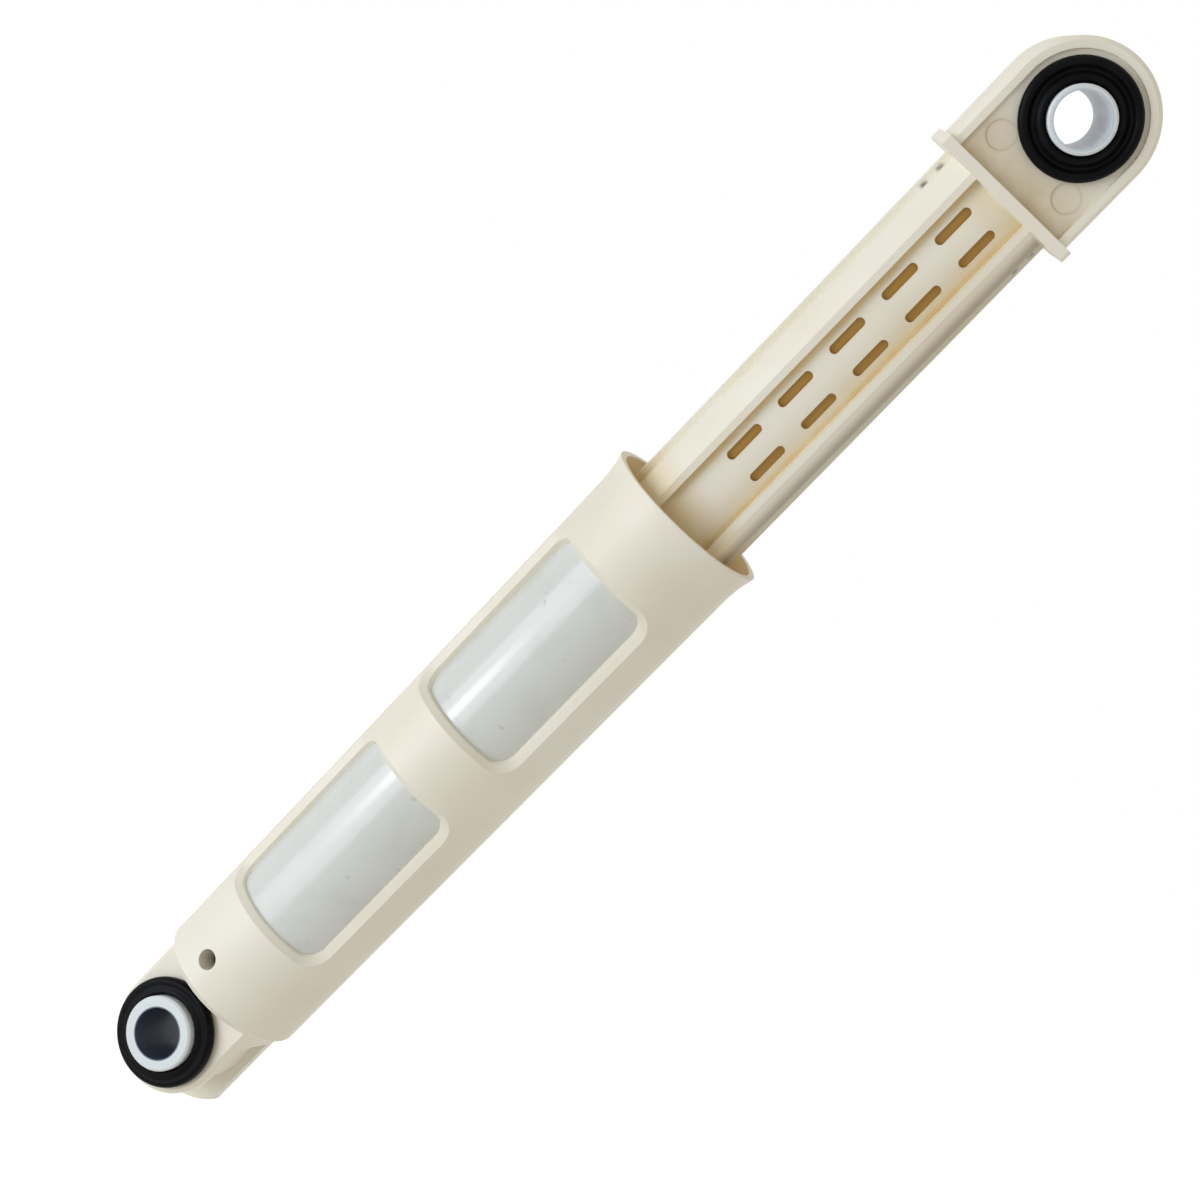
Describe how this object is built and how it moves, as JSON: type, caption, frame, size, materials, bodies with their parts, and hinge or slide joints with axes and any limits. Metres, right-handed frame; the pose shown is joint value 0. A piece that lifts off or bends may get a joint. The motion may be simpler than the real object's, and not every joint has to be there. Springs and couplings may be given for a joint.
{
  "type": "washing machine shock absorber",
  "caption": "Telescopic friction damper for a washing machine: a windowed plastic barrel lined with a steel tube, a slotted plunger and a rubber-bushed eye at each end.",
  "frame": {"origin": "centre of the lower eye's bore, halfway along its sleeve", "axes": "+Z along the damper from the lower eye to the upper eye, Y along the lower eye's bore, -Y towards the side with the air hole"},
  "size_m": [0.0366, 0.0352, 0.2822],
  "materials": {
    "ivory_plastic": "satin moulded",
    "tube_steel": "drawn and plated, semi-matt",
    "lining_foam": "greased felted foam",
    "bush_rubber": "moulded, dull",
    "sleeve_plastic": "satin moulded"
  },
  "bodies": {
    "barrel": {"barrel": "ivory_plastic", "friction_tube": "tube_steel", "lower_bush": "bush_rubber", "lower_sleeve": "sleeve_plastic"},
    "lining": {"friction_lining": "lining_foam"},
    "plunger": {"plunger": "ivory_plastic", "upper_bush": "bush_rubber", "upper_sleeve": "sleeve_plastic"}
  },
  "joints": [
    {"name": "plunger_slide", "type": "slide", "parent": "barrel", "child": "lining", "axis": [0, 0, 1], "range_m": [-0.082, 0.008]},
    {"name": "plunger_turn", "type": "hinge", "parent": "lining", "child": "plunger", "pos_m": [0, 0, 0.122], "axis": [0, 0, 1], "continuous": true}
  ]
}
